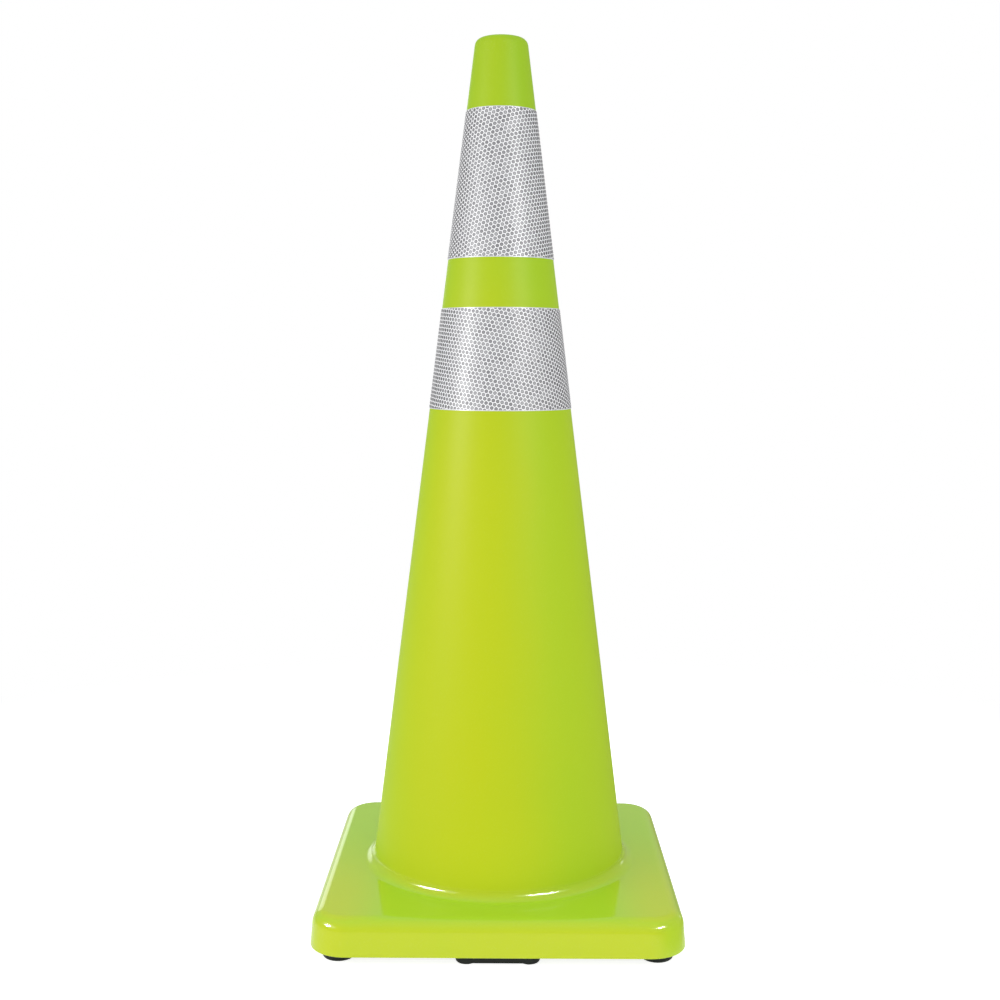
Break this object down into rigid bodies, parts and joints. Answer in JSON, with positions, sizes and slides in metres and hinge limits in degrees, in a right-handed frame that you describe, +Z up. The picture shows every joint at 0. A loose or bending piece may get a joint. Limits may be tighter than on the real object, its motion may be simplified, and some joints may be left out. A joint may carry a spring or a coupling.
{
  "type": "traffic cone",
  "caption": "Hollow tapered marker cone on a weighted square base with rubber feet, with reflective collars and a top opening for a bar or lamp.",
  "frame": {"origin": "centre of the footprint, on the ground under the feet", "axes": "+Z up along the cone's axis, -Y the front side, +Y the side with the collars' lap seams"},
  "size_m": [0.372, 0.372, 0.9144],
  "materials": {
    "cone_moulding": "satin flexible PVC, glossier on the base",
    "ballast": "rough, granular recycled PVC",
    "foot_rubber": "matte moulded rubber",
    "collar_backing": "satin white film",
    "collar_film": "clear glossy face over a silver-white honeycomb of prism cells"
  },
  "bodies": {
    "root": {"cone_body": "cone_moulding", "base_ballast": "ballast", "corner_foot_front_left": "foot_rubber", "corner_foot_front_right": "foot_rubber", "corner_foot_back_left": "foot_rubber", "corner_foot_back_right": "foot_rubber", "side_foot_front": "foot_rubber", "side_foot_back": "foot_rubber", "side_foot_left": "foot_rubber", "side_foot_right": "foot_rubber", "upper_collar_backing": "collar_backing", "upper_collar_film": "collar_film", "lower_collar_backing": "collar_backing", "lower_collar_film": "collar_film"}
  },
  "joints": []
}
